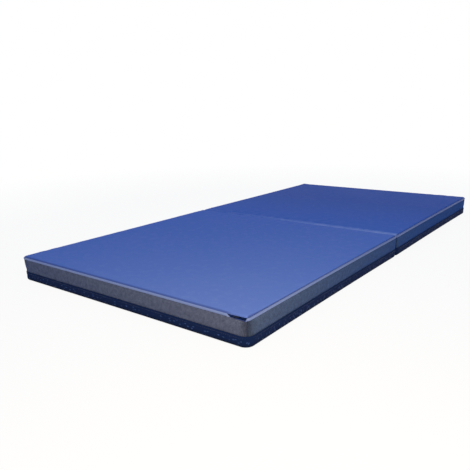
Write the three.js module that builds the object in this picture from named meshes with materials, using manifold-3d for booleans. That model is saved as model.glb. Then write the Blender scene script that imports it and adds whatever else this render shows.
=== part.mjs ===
// Folding fall mat: two square foam panels end to end in one fabric cover, which folds along the middle.
// Millimetres, +Z up. The origin is on the floor under the middle of the fold, and Y runs along the mat.
// A panel is a foam core in a sewn cover: a crowned top sheet, a welt round its seam, four side bands, a
// non-slip base pan with a turned-up edge, and a zip that runs behind the seam of the panel's outer end.
import * as THREE from "three";
import { mergeVertices } from "three/addons/utils/BufferGeometryUtils.js";
import Module from "manifold-3d";

const wasm = await Module();
wasm.setup();

// The mat, lying open
const matWidth = 914.4;
const matLength = 1828.8;
const slitWidth = 6;
const endCornerRadius = 25; // down at the base
const endSeamRadius = 12; // of the same corner up at the seam
const foldCornerRadius = 14;
const foldSeamRadius = 5;
const leastCornerRadius = 3; // where the top has turned in from the seam
const fitGap = 0.3; // between pieces that touch
const cutOverrun = 5;

// Heights above the floor, and how far the cover's other lines lie below its crown
const crownHeight = 82.3;
const panRimHeight = 32;
const shoulderDrop = 1.1;
const foldEdgeDrop = 4.4;
const seamDrop = 6.3;

// How the filled cover rounds over, swells and draws in
const shoulderInset = 10.4;
const foldShoulderInset = 9;
const sideDrawIn = 2;
const endDrawIn = 1;
const bandSwell = 1.5;

// Cloth
const sheetThickness = 1.2;
const bandThickness = 1.2;
const bandLap = 12; // of the band's lower edge behind the pan's rim
const panThickness = 1.5;
const panEdgeRadius = 8;
const weltRadius = 1.6;
const hingeArm = 0.5; // straight run of the hinge strip below the sheet's edge

// The seam gapes at the end where the zip is parked
const mouthDrop = 5;
const mouthLift = 1;

// Zip
const zipDrop = 2.4; // from the seam to the middle of the coil
const zipMargin = 4; // from the corner's arc to the end of the tape
const tapeEnd = 5; // from the end of the tape to the coil
const tapeAbove = 5.2;
const tapeBelow = 11.6;
const tapeThickness = 0.8;
const coilHeight = 3.6;
const coilDepth = 2;
const coilRadius = 0.7;
const stopLength = 3;
const stopHeight = 5.6;
const sliderLength = 12;
const sliderHeight = 7;
const sliderTail = 5.8; // its height at the narrow end
const sliderWall = 1.2;
const sliderGrip = 1.7; // how far its flanges reach back round the coil
const sliderRound = 1.5;
const parkGap = 1; // from a stop to the slider
const lugLength = 4;
const lugHeight = 2.4;
const tabLength = 46;
const tabHeight = 5;
const tabThickness = 1;
const tabRound = 2;
const eyeGap = 0.4;

// Where the outline's points lie along each straight side, and how far the seam gapes at them, as shares
const endShares = [0.12, 0.35, 0.6, 0.8, 0.94, 0.955, 0.97, 0.985];
const endMouthShares = [0, 0, 0, 0, 0, 0.35, 0.7, 0.95];
const cornerMouthShares = [1, 0.95, 0.8, 0.35, 0, 0, 0];
const sideShares = [0.06, 0.27, 0.5, 0.73, 0.94];
const foldShares = [0.006, 0.25, 0.5, 0.75, 0.994];
const crownShares = [0.88, 0.55]; // size of each ring of the crown

// Faces of the round stretches
const cornerSteps = 6; // an even number, because two bands meet at a corner's middle
const shoulderSteps = 4;
const swellSteps = 4;
const edgeSteps = 3;
const weltSides = 8;
const curveSegments = 6;

// Worked out from the sizes above
const panelLength = (matLength - slitWidth) / 2;
const panelCentre = (slitWidth + panelLength) / 2;
const panelEnd = -panelLength / 2;
const shoulderHeight = crownHeight - shoulderDrop;
const foldEdgeHeight = crownHeight - foldEdgeDrop;
const seamHeight = crownHeight - seamDrop;
const zipHeight = seamHeight - zipDrop;
const bandInset = panThickness + fitGap;
const foamInset = bandInset + bandThickness + fitGap;
const weltInset = foamInset - fitGap - weltRadius;
const bandTop = seamHeight - weltRadius - fitGap;
const sheetLip = seamHeight + weltRadius + fitGap;
const foldAxisHeight = crownHeight + fitGap;

// Depths of the zip's layers behind the end of the panel
const tabFront = weltInset + weltRadius + endDrawIn + fitGap;
const sliderFront = tabFront + tabThickness + fitGap;
const coilFront = sliderFront + sliderWall + fitGap;
const tapeFront = coilFront + coilDepth + fitGap;
const rebateDepth = tapeFront + tapeThickness + fitGap;

// Along the end the zip runs from the right corner to short of the left one, where its tab still lies straight
const lugFromTail = sliderRound + lugLength / 2;
const eyeFromEnd = (tabHeight - lugHeight + lugLength) / 2;
const tabOverhang = tabLength - eyeFromEnd - lugFromTail;
const zipRight = matWidth / 2 - endCornerRadius - zipMargin;
const zipLeft = tabOverhang - zipRight;
const zipMiddle = (zipLeft + zipRight) / 2;
const tapeLength = zipRight - zipLeft;
const coilLength = tapeLength - 2 * tapeEnd;
const parkedAt = zipMiddle + (coilLength - sliderLength) / 2 - parkGap;
const zipTravel = coilLength - sliderLength - 2 * parkGap;

const finishes = {
  topSheet: { color: 0x3f5ba8, roughness: 0.55, metalness: 0 },
  sideBand: { color: 0x49526a, roughness: 0.9, metalness: 0 },
  welt: { color: 0x7781a0, roughness: 0.7, metalness: 0 },
  basePan: { color: 0x15203d, roughness: 0.8, metalness: 0 },
  foam: { color: 0xe6dfc4, roughness: 1, metalness: 0 },
  zipCloth: { color: 0x131c38, roughness: 0.85, metalness: 0 },
  zipCoil: { color: 0x1a2444, roughness: 0.4, metalness: 0 },
  zipMetal: { color: 0x2a3040, roughness: 0.35, metalness: 0.8 },
};

function mixed(a, b, share) {
  return a + (b - a) * share;
}

function piece(name, finish, geometry) {
  const mesh = new THREE.Mesh(geometry, new THREE.MeshStandardMaterial(finishes[finish]));
  mesh.name = name;
  return mesh;
}

// Outline of a panel

// A point of the outline, the way inward from it, and its shares of the fold edge and of the zip's mouth. A
// point of a corner is given at the corner's tip, with how far it moves for each millimetre of the radius.
function station(x, y, inX, inY, shares, corner) {
  return { x, y, inX, inY, fold: shares.fold ?? 0, mouth: shares.mouth ?? 0, ...corner };
}

const straight = { roundX: 0, roundY: 0, lowRadius: 0, highRadius: 0 };

// The points of a straight side, bowed inward by drawIn at its middle
function sideRun(from, to, inward, drawIn, places, sharesOf) {
  return places.map((place, i) => {
    const bow = drawIn * Math.sin(Math.PI * place);
    const x = mixed(from[0], to[0], place) + inward[0] * bow;
    const y = mixed(from[1], to[1], place) + inward[1] * bow;
    return station(x, y, inward[0], inward[1], sharesOf(i), straight);
  });
}

// The points of a corner's arc, both of its ends included, with its radius at the base and at the seam
function cornerRun(tip, lowRadius, highRadius, startAngle, sharesOf) {
  const run = [];
  for (let i = 0; i <= cornerSteps; i++) {
    const angle = startAngle + ((Math.PI / 2) * i) / cornerSteps;
    const outX = Math.cos(angle);
    const outY = Math.sin(angle);
    const roundX = outX - Math.sign(tip[0]);
    const roundY = outY - Math.sign(tip[1]);
    const corner = { roundX, roundY, lowRadius, highRadius };
    run.push(station(tip[0], tip[1], -outX, -outY, sharesOf(i), corner));
  }
  return run;
}

// The outline about the panel's middle, counter-clockwise, with the zip's end towards -Y and the fold towards +Y
function panelOutline() {
  const sideX = matWidth / 2;
  const endX = sideX - endCornerRadius;
  const endY = panelEnd + endCornerRadius;
  const foldX = sideX - foldCornerRadius;
  const foldY = -panelEnd - foldCornerRadius;
  const plain = () => ({});
  const onFold = () => ({ fold: 1 });
  const runs = {
    end: sideRun([-endX, panelEnd], [endX, panelEnd], [0, 1], endDrawIn, endShares, (i) => ({
      mouth: endMouthShares[i],
    })),
    endRight: cornerRun([sideX, panelEnd], endCornerRadius, endSeamRadius, -Math.PI / 2, (i) => ({
      mouth: cornerMouthShares[i],
    })),
    right: sideRun([sideX, endY], [sideX, foldY], [-1, 0], sideDrawIn, sideShares, plain),
    foldRight: cornerRun([sideX, -panelEnd], foldCornerRadius, foldSeamRadius, 0, plain),
    fold: sideRun([foldX, -panelEnd], [-foldX, -panelEnd], [0, -1], 0, foldShares, onFold),
    foldLeft: cornerRun([-sideX, -panelEnd], foldCornerRadius, foldSeamRadius, Math.PI / 2, plain),
    left: sideRun([-sideX, foldY], [-sideX, endY], [1, 0], sideDrawIn, sideShares, plain),
    endLeft: cornerRun([-sideX, panelEnd], endCornerRadius, endSeamRadius, Math.PI, plain),
  };
  const stations = [];
  const first = {};
  for (const [name, run] of Object.entries(runs)) {
    first[name] = stations.length;
    stations.push(...run);
  }
  return { stations, first };
}

const outline = panelOutline();

// The stations from one index round to another, both included
function stretch(from, to) {
  const { stations } = outline;
  const count = ((to - from + stations.length) % stations.length) + 1;
  return Array.from({ length: count }, (_, i) => stations[(from + i) % stations.length]);
}

// A station moved along the outline
function slid(s, distance) {
  return { ...s, x: s.x + s.inY * distance, y: s.y - s.inX * distance };
}

// How far up the side between the pan's rim and the top of the bands, as a share
function wallShare(height) {
  return THREE.MathUtils.clamp((height - panRimHeight) / (bandTop - panRimHeight), 0, 1);
}

function at(s, inset, height) {
  const wallRadius = mixed(s.lowRadius, s.highRadius, wallShare(height));
  const radius = Math.max(wallRadius, inset + leastCornerRadius);
  return [s.x + s.roundX * radius + s.inX * inset, s.y + s.roundY * radius + s.inY * inset, height];
}

function ringAt(insetOf, heightOf) {
  return outline.stations.map((s) => at(s, insetOf(s), heightOf(s)));
}

// Solids

function solidFrom(points, triangles) {
  const geometry = new THREE.BufferGeometry();
  geometry.setAttribute("position", new THREE.Float32BufferAttribute(points.flat(), 3));
  geometry.setIndex(triangles.flat());
  return geometry;
}

// A solid through rings of points, closed by a fan to a middle point at its first and last rings
function ringSolid(rings, firstMiddle, lastMiddle) {
  const count = rings[0].length;
  const points = [...rings.flat(), firstMiddle, lastMiddle];
  const triangles = [];
  for (let k = 0; k < rings.length - 1; k++) {
    for (let i = 0; i < count; i++) {
      const a = k * count + i;
      const b = k * count + ((i + 1) % count);
      triangles.push([a, b, b + count], [a, b + count, a + count]);
    }
  }
  const lastRing = (rings.length - 1) * count;
  for (let i = 0; i < count; i++) {
    const next = (i + 1) % count;
    triangles.push([next, i, points.length - 2], [lastRing + i, lastRing + next, points.length - 1]);
  }
  return solidFrom(points, triangles);
}

// A solid through sections, each a loop whose first half climbs outside and whose second half comes down inside
function sectionSolid(sections) {
  const count = sections[0].length;
  const triangles = [];
  for (let k = 0; k < sections.length - 1; k++) {
    for (let j = 0; j < count; j++) {
      const a = k * count + j;
      const b = k * count + ((j + 1) % count);
      triangles.push([a, a + count, b + count], [a, b + count, b]);
    }
  }
  const last = (sections.length - 1) * count;
  for (let j = 0; j < count / 2 - 1; j++) {
    const across = count - 1 - j;
    triangles.push([j, j + 1, across - 1], [j, across - 1, across]);
    triangles.push([last + j, last + across - 1, last + j + 1], [last + j, last + across, last + across - 1]);
  }
  return solidFrom(sections.flat(), triangles);
}

// A flat shape given thickness, with its own x, y and thickness turned to the three directions
function extruded(shape, thickness, xWay, yWay, thickWay, place) {
  const geometry = new THREE.ExtrudeGeometry(shape, { depth: thickness, bevelEnabled: false, curveSegments });
  const ways = [xWay, yWay, thickWay].map((way) => new THREE.Vector3(...way));
  geometry.applyMatrix4(new THREE.Matrix4().makeBasis(...ways));
  return geometry.translate(...place);
}

function roundedBar(length, height, radius) {
  const right = length / 2;
  const top = height / 2;
  const shape = new THREE.Shape();
  shape.absarc(right - radius, top - radius, radius, 0, Math.PI / 2);
  shape.absarc(radius - right, top - radius, radius, Math.PI / 2, Math.PI);
  shape.absarc(radius - right, radius - top, radius, Math.PI, 1.5 * Math.PI);
  shape.absarc(right - radius, radius - top, radius, 1.5 * Math.PI, 2 * Math.PI);
  return shape;
}

function block(sizeX, sizeY, sizeZ, x, y, z) {
  return new THREE.BoxGeometry(sizeX, sizeY, sizeZ).translate(x, y, z);
}

function manifoldOf(geometry) {
  const bare = geometry.clone();
  bare.deleteAttribute("normal");
  bare.deleteAttribute("uv");
  const merged = mergeVertices(bare);
  const mesh = { numProp: 3, vertProperties: merged.attributes.position.array, triVerts: merged.index.array };
  mesh.triVerts = new Uint32Array(mesh.triVerts);
  return new wasm.Manifold(new wasm.Mesh(mesh));
}

function geometryOf(manifold) {
  const mesh = manifold.getMesh();
  const geometry = new THREE.BufferGeometry();
  geometry.setAttribute("position", new THREE.BufferAttribute(mesh.vertProperties, mesh.numProp));
  geometry.setIndex(new THREE.BufferAttribute(mesh.triVerts, 1));
  return geometry;
}

// Top sheet

// The sheet's face turns over its shoulder on a quarter of an ellipse, from its lip (0) to the top (1)
function lipHeight(s) {
  return mixed(sheetLip + mouthLift * s.mouth, foldEdgeHeight, s.fold);
}

function faceInset(s, turn) {
  const reach = mixed(shoulderInset, foldShoulderInset, s.fold);
  return mixed(bandInset, 0, s.fold) + reach * (1 - Math.cos((turn * Math.PI) / 2));
}

function faceHeight(s, turn) {
  return mixed(lipHeight(s), shoulderHeight, Math.sin((turn * Math.PI) / 2));
}

// Rings of the sheet's face pushed in by a depth, from its lip to the last ring of its crown
function faceRings(depth, leastInset) {
  const rings = [];
  for (let k = 0; k <= shoulderSteps; k++) {
    const turn = k / shoulderSteps;
    const sink = depth * Math.sin((turn * Math.PI) / 2);
    const push = depth * Math.cos((turn * Math.PI) / 2);
    const insetOf = (s) => Math.max(leastInset, faceInset(s, turn) + push);
    rings.push(ringAt(insetOf, (s) => faceHeight(s, turn) - sink));
  }
  const edge = rings[rings.length - 1];
  for (const share of crownShares) {
    const rise = (crownHeight - shoulderHeight) * (1 - share * share);
    rings.push(edge.map(([x, y, z]) => [x * share, y * share, z + rise]));
  }
  return rings;
}

function topSheet() {
  const inside = faceRings(sheetThickness, 0).reverse();
  const outside = faceRings(0, 0);
  return ringSolid([...inside, ...outside], [0, 0, crownHeight - sheetThickness], [0, 0, crownHeight]);
}

// The welt goes round the panel from one corner of the slit to the other, and drops at the zip's mouth
function topWelt() {
  const { first } = outline;
  const sections = stretch(first.foldLeft, first.foldRight + cornerSteps).map((s) => {
    const section = [];
    for (let j = 0; j < weltSides; j++) {
      const angle = (Math.PI * (2 * j + 1)) / weltSides - Math.PI / 2;
      const inset = weltInset - weltRadius * Math.cos(angle);
      section.push(at(s, inset, seamHeight - mouthDrop * s.mouth + weltRadius * Math.sin(angle)));
    }
    return section;
  });
  return sectionSolid(sections);
}

// Side bands

// How far the filled side stands out at a height between the pan's rim and the seam
function swellAt(height) {
  return bandSwell * Math.sin(Math.PI * wallShare(height));
}

// A band between two of the outline's points, where its ends meet the next bands' ends
function sideBand(from, to) {
  const run = stretch(from, to);
  run[0] = slid(run[0], fitGap / 2);
  run[run.length - 1] = slid(run[run.length - 1], -fitGap / 2);
  const sections = run.map((s) => {
    const top = mixed(bandTop - mouthDrop * s.mouth, foldEdgeHeight - fitGap, s.fold);
    const heights = [panRimHeight - bandLap];
    for (let k = 0; k <= swellSteps; k++) heights.push(mixed(panRimHeight, top, k / swellSteps));
    const outside = heights.map((height) => at(s, bandInset - swellAt(height), height));
    const inside = heights.map((height) => at(s, bandInset - swellAt(height) + bandThickness, height));
    return [...outside, ...inside.reverse()];
  });
  return sectionSolid(sections);
}

// Base pan

// Rings of a rounded bottom edge that turns up from the floor, about a centre set in from the outline
function edgeRings(radius, centreInset, centreHeight) {
  const rings = [];
  for (let k = 0; k <= edgeSteps; k++) {
    const angle = ((Math.PI / 2) * k) / edgeSteps;
    const inset = centreInset - radius * Math.sin(angle);
    const height = centreHeight - radius * Math.cos(angle);
    rings.push(ringAt(() => inset, () => height));
  }
  return rings;
}

function basePan() {
  const outside = edgeRings(panEdgeRadius, panEdgeRadius, panEdgeRadius);
  const inside = edgeRings(panEdgeRadius - panThickness, panEdgeRadius, panEdgeRadius).reverse();
  const rim = [0, panThickness].map((inset) => ringAt(() => inset, () => panRimHeight));
  return ringSolid([...outside, ...rim, ...inside], [0, 0, 0], [0, 0, panThickness]);
}

// Foam core, rebated along its end for the zip
function foamCore() {
  const floor = panThickness + fitGap;
  const radius = panEdgeRadius - foamInset;
  const wall = [];
  for (let k = 0; k <= swellSteps; k++) {
    const height = mixed(panRimHeight, bandTop, k / swellSteps);
    wall.push(ringAt(() => foamInset - swellAt(height), () => height));
  }
  const foot = edgeRings(radius, panEdgeRadius, floor + radius);
  const crown = faceRings(sheetThickness + fitGap, foamInset);
  const top = crownHeight - sheetThickness - fitGap;
  const core = manifoldOf(ringSolid([...foot, ...wall, ...crown], [0, 0, floor], [0, 0, top]));
  const rebateFoot = zipHeight - tapeBelow - fitGap;
  const rebateHeight = crownHeight + cutOverrun - rebateFoot;
  const rebateWidth = rebateDepth + cutOverrun;
  const rebateY = panelEnd + rebateDepth - rebateWidth / 2;
  const rebateZ = rebateFoot + rebateHeight / 2;
  const rebate = block(2 * (zipRight + fitGap), rebateWidth, rebateHeight, 0, rebateY, rebateZ);
  return geometryOf(core.subtract(manifoldOf(rebate)));
}

// Zip

// A shape in the zip's plane given thickness inward from a depth behind the panel's end
function zipPlate(shape, front, thickness, x, z) {
  return extruded(shape, thickness, [1, 0, 0], [0, 0, 1], [0, -1, 0], [x, panelEnd + front + thickness, z]);
}

function zipTape() {
  const height = tapeAbove + tapeBelow;
  const z = zipHeight + (tapeAbove - tapeBelow) / 2;
  return zipPlate(roundedBar(tapeLength, height, tapeThickness), tapeFront, tapeThickness, zipMiddle, z);
}

function zipCoil() {
  const bead = roundedBar(coilDepth, coilHeight, coilRadius);
  const place = [zipMiddle - coilLength / 2, panelEnd + coilFront + coilDepth / 2, zipHeight];
  return extruded(bead, coilLength, [0, 1, 0], [0, 0, 1], [1, 0, 0], place);
}

function zipStop(side) {
  const x = zipMiddle + side * (coilLength / 2 + fitGap + stopLength / 2);
  return zipPlate(roundedBar(stopLength, stopHeight, coilRadius), coilFront, coilDepth, x, zipHeight);
}

// The slider's shield outline, cut from a channel whose flanges straddle the coil, with the tab's lug in front
function zipSlider() {
  const nose = sliderLength / 2;
  const halfNose = sliderHeight / 2;
  const halfTail = sliderTail / 2;
  const shield = new THREE.Shape();
  shield.moveTo(-nose, halfTail - sliderRound);
  shield.quadraticCurveTo(-nose, halfTail, sliderRound - nose, halfTail);
  shield.lineTo(0, halfNose);
  shield.absarc(nose - sliderRound, halfNose - sliderRound, sliderRound, Math.PI / 2, 0, true);
  shield.absarc(nose - sliderRound, sliderRound - halfNose, sliderRound, 0, -Math.PI / 2, true);
  shield.lineTo(0, -halfNose);
  shield.lineTo(sliderRound - nose, -halfTail);
  shield.quadraticCurveTo(-nose, -halfTail, -nose, sliderRound - halfTail);
  const depth = sliderWall + sliderGrip;
  const body = manifoldOf(zipPlate(shield, sliderFront, depth, parkedAt, zipHeight));
  const channelDepth = sliderGrip + cutOverrun;
  const channelY = panelEnd + sliderFront + sliderWall + channelDepth / 2;
  const channelHeight = coilHeight + 2 * fitGap;
  const channelLength = sliderLength + cutOverrun;
  const channel = block(channelLength, channelDepth, channelHeight, parkedAt, channelY, zipHeight);
  const lugDepth = sliderFront - tabFront + sliderWall / 2;
  const lugX = parkedAt - sliderLength / 2 + lugFromTail;
  const lug = block(lugLength, lugDepth, lugHeight, lugX, panelEnd + tabFront + lugDepth / 2, zipHeight);
  return geometryOf(body.subtract(manifoldOf(channel)).add(manifoldOf(lug)));
}

// The pull tab hangs by its eye on the slider's lug and lies back along the zip
function zipTab() {
  const tab = roundedBar(tabLength, tabHeight, tabRound);
  const eyeX = tabLength / 2 - eyeFromEnd;
  const eyeRight = eyeX + lugLength / 2 + eyeGap;
  const eyeLeft = eyeX - lugLength / 2 - eyeGap;
  const eyeTop = lugHeight / 2 + eyeGap;
  const eye = new THREE.Path();
  eye.moveTo(eyeRight, eyeTop);
  eye.lineTo(eyeRight, -eyeTop);
  eye.lineTo(eyeLeft, -eyeTop);
  eye.lineTo(eyeLeft, eyeTop);
  tab.holes.push(eye);
  const lugX = parkedAt - sliderLength / 2 + lugFromTail;
  return zipPlate(tab, tabFront, tabThickness, lugX - eyeX, zipHeight);
}

// Fold hinge: the cover's top sheet dips into the slit between the panels, with slack for the turn
function hingeStrip() {
  const inner = slitWidth / 2;
  const outer = inner + sheetThickness;
  const centre = foldEdgeHeight - fitGap - hingeArm;
  const dip = new THREE.Shape();
  dip.moveTo(outer, centre + hingeArm);
  dip.lineTo(inner, centre + hingeArm);
  dip.absarc(0, centre, inner, 0, -Math.PI, true);
  dip.lineTo(-inner, centre + hingeArm);
  dip.lineTo(-outer, centre + hingeArm);
  dip.absarc(0, centre, outer, Math.PI, 2 * Math.PI);
  const weltEnd = weltInset + weltRadius + leastCornerRadius;
  const length = matWidth - 2 * (weltEnd + fitGap);
  return extruded(dip, length, [0, 1, 0], [0, 0, 1], [1, 0, 0], [-length / 2, 0, 0]);
}

// A panel with its zip's end towards -Y; left and right name its sides as seen by who looks along the mat
function panel(name, left, right) {
  const { first } = outline;
  const middle = cornerSteps / 2;
  const endRight = first.endRight + middle;
  const foldRight = first.foldRight + middle;
  const foldLeft = first.foldLeft + middle;
  const endLeft = first.endLeft + middle;
  const group = new THREE.Group();
  group.add(
    piece(`${name}_foam_core`, "foam", foamCore()),
    piece(`${name}_top_sheet`, "topSheet", topSheet()),
    piece(`${name}_top_welt`, "welt", topWelt()),
    piece(`${name}_end_band`, "sideBand", sideBand(endLeft, endRight)),
    piece(`${name}_${right}_band`, "sideBand", sideBand(endRight, foldRight)),
    piece(`${name}_fold_band`, "sideBand", sideBand(foldRight, foldLeft)),
    piece(`${name}_${left}_band`, "sideBand", sideBand(foldLeft, endLeft)),
    piece(`${name}_base_pan`, "basePan", basePan()),
    piece(`${name}_zip_tape`, "zipCloth", zipTape()),
    piece(`${name}_zip_coil`, "zipCoil", zipCoil()),
    piece(`${name}_zip_${right}_stop`, "zipMetal", zipStop(1)),
    piece(`${name}_zip_${left}_stop`, "zipMetal", zipStop(-1)),
    piece(`${name}_zip_slider`, "zipMetal", zipSlider()),
    piece(`${name}_zip_pull_tab`, "zipCloth", zipTab()),
  );
  return group;
}

const nearPanel = panel("near", "left", "right");
nearPanel.position.y = -panelCentre;

const farPanel = panel("far", "right", "left");
farPanel.position.y = panelCentre;
farPanel.rotation.z = Math.PI;

const mat = new THREE.Group();
mat.add(nearPanel, farPanel, piece("fold_hinge_strip", "topSheet", hingeStrip()));

// The far panel turns about X at this height over the fold, and each slider travels this far along its coil
mat.userData = { foldAxisHeight, zipTravel };

export default mat;
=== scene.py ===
import math
from functools import partial

import bmesh
import bpy
import numpy as np
from mathutils import Matrix, Vector


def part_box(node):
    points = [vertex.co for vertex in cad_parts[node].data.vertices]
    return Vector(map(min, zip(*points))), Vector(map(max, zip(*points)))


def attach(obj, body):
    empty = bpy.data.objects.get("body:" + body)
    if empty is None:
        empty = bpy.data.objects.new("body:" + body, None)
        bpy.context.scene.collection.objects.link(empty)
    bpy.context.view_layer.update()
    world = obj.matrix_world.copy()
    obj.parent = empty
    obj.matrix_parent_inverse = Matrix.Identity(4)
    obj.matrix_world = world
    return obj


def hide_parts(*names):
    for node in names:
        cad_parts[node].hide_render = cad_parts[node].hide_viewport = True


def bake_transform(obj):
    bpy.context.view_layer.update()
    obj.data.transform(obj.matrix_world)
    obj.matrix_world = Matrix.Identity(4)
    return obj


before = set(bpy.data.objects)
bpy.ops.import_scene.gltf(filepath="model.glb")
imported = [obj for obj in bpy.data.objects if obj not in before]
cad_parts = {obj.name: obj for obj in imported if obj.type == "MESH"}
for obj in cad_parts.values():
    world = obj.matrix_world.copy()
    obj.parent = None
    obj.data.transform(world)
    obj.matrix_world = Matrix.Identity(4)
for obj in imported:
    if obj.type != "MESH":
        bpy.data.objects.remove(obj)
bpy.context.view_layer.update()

mm = 0.001

# The mat's own sizes in millimetres, the same as its solids have
mat = {
    "width": 914.4,
    "length": 1828.8,
    "slit": 6,
    "endCorner": 25,
    "endSeamCorner": 12,
    "foldCorner": 14,
    "foldSeamCorner": 5,
    "leastCorner": 3,
    "crown": 82.3,
    "shoulder": 81.2,
    "foldEdge": 77.9,
    "seam": 76,
    "panRim": 32,
    "hemTop": 29.6,  # where the base cloth's hem is sewn over the bands
    "sideDrawIn": 2,
    "endDrawIn": 1,
    "bandInset": 1.8,
    "foamInset": 3.3,
    "welt": 1.6,
    "fit": 0.3,
    "mouthLift": 1,
}
panelLength = (mat["length"] - mat["slit"]) / 2
panelCentre = (mat["slit"] + panelLength) / 2
bandTop = mat["seam"] - mat["welt"] - mat["fit"]


# Camera, as the photograph's own was worked out from the mat's edges
cameraView = {
    "place": (1.1114, -1.8059, 0.5487),  # m
    "azimuth": -37.552,  # degrees, turned from looking along the mat
    "down": 13.965,
    "roll": -1.264,
    "lens": 40.355,  # mm
    "sensor": 36,
}


def placeCamera():
    azimuth, down, roll = (math.radians(cameraView[key]) for key in ("azimuth", "down", "roll"))
    ahead = Vector((math.sin(azimuth) * math.cos(down), math.cos(azimuth) * math.cos(down), -math.sin(down)))
    right = Vector((math.cos(azimuth), -math.sin(azimuth), 0))
    up = right.cross(ahead)
    tilted = right * math.cos(roll) + up * math.sin(roll)
    upright = up * math.cos(roll) - right * math.sin(roll)
    data = bpy.data.cameras.new("photoCamera")
    data.lens = cameraView["lens"]
    data.sensor_width = cameraView["sensor"]
    camera = bpy.data.objects.new("photoCamera", data)
    turn = Matrix((tilted, upright, -ahead)).transposed().to_4x4()
    camera.matrix_world = Matrix.Translation(cameraView["place"]) @ turn
    bpy.context.scene.collection.objects.link(camera)
    bpy.context.scene.camera = camera
    print("camera placed")


# Colours and nodes


def linear(hexColour):
    channels = [int(hexColour[i : i + 2], 16) / 255 for i in (1, 3, 5)]
    return [c / 12.92 if c <= 0.04045 else ((c + 0.055) / 1.055) ** 2.4 for c in channels] + [1.0]


# Adds a node with its settings and its inputs, by name or in order, and gives one of its outputs, or all of
# them where output is None
def addNode(tree, kind, inputs, output=0, **settings):
    node = tree.nodes.new("ShaderNode" + kind)
    for name, value in settings.items():
        setattr(node, name, value)
    for name, value in enumerate(inputs) if isinstance(inputs, tuple) else inputs.items():
        if isinstance(value, bpy.types.NodeSocket):
            tree.links.new(value, node.inputs[name])
        else:
            node.inputs[name].default_value = linear(value) if isinstance(value, str) else value
    return node.outputs if output is None else node.outputs[output]


# A material with the surface that surfaceOf makes in its node tree
def newMaterial(name, surfaceOf, *details):
    material = bpy.data.materials.new(name)
    material.use_nodes = True
    tree = material.node_tree
    tree.nodes.clear()
    addNode(tree, "OutputMaterial", {"Surface": surfaceOf(partial(addNode, tree), *details)}, None)
    return material


def perMetre(pitch):
    return 1 / (pitch * mm)


def waveScale(pitch):
    return math.pi / 10 * perMetre(pitch)  # Blender's wave repeats 10 / pi times per unit of scale


def inMetres(sizes):
    return tuple(size * mm for size in sizes)


# Coated nylon: a plain weave sealed under a thin calendered film, so it is smooth and nearly matt, with a
# faint cloudiness where the film is thicker and hardly any thread showing
coatedNylon = {
    "colour": "#2a5ac2",
    "cloud": "#3464c6",
    "cloudSize": 220,  # mm
    "farPanelShade": "#083f9c",  # painted shade: the far panel's film drawn darker and bluer, for the light falling off away from the lamp
    "farPanelShadeShare": (0.1, 0.6),  # at the fold and past its reach
    "farPanelShadeReach": 559.8,  # mm from the fold
    # pale tint of real scuffs, also laid over the near panel as painted highlight
    "scuff": "#8094cd",
    "scuffSize": 26,
    "scuffShare": (0.5, 0.8, 0, 0.15),  # from and to, of the noise and of the scuffs
    "nearHighlight": (0.4, 0.1),  # share of the pale tint on the near panel, at its end and at the fold: painted highlight where the lamp falls
    "nearHighlightAcross": (-0.45, 0.3, 0.4, 1),  # m across, and share of that painted highlight there
    "foldHighlight": "#a4bbf2",  # painted highlight along the fold, paler than the film
    "foldHighlightWidth": (8, 36),  # mm from the slit's middle, where it starts to fade and where it ends
    "foldHighlightSpread": (-0.35, 0.4, 0.14, 0.6),  # m across, and its share there: most at the right
    "foldHighlightPatches": (0.3, 0.6, 0.5, 1),
    "seamShade": "#31468c",  # painted shade along the cloth's sewn edge, for the shadow in the seam's groove
    "seamShadeFrom": (6, 10),  # mm in from the edge
    "seamShadeShare": 0.65,
    "looseCorner": (-0.375, -0.36),  # m2, across times along from the fold, where the zip's mouth starts
    "thread": 1.8,  # mm; the real 0.4 is too fine to show, so it is drawn coarser
    "roughness": (0.3, 0.7, 0.68, 0.72),
}


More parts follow.
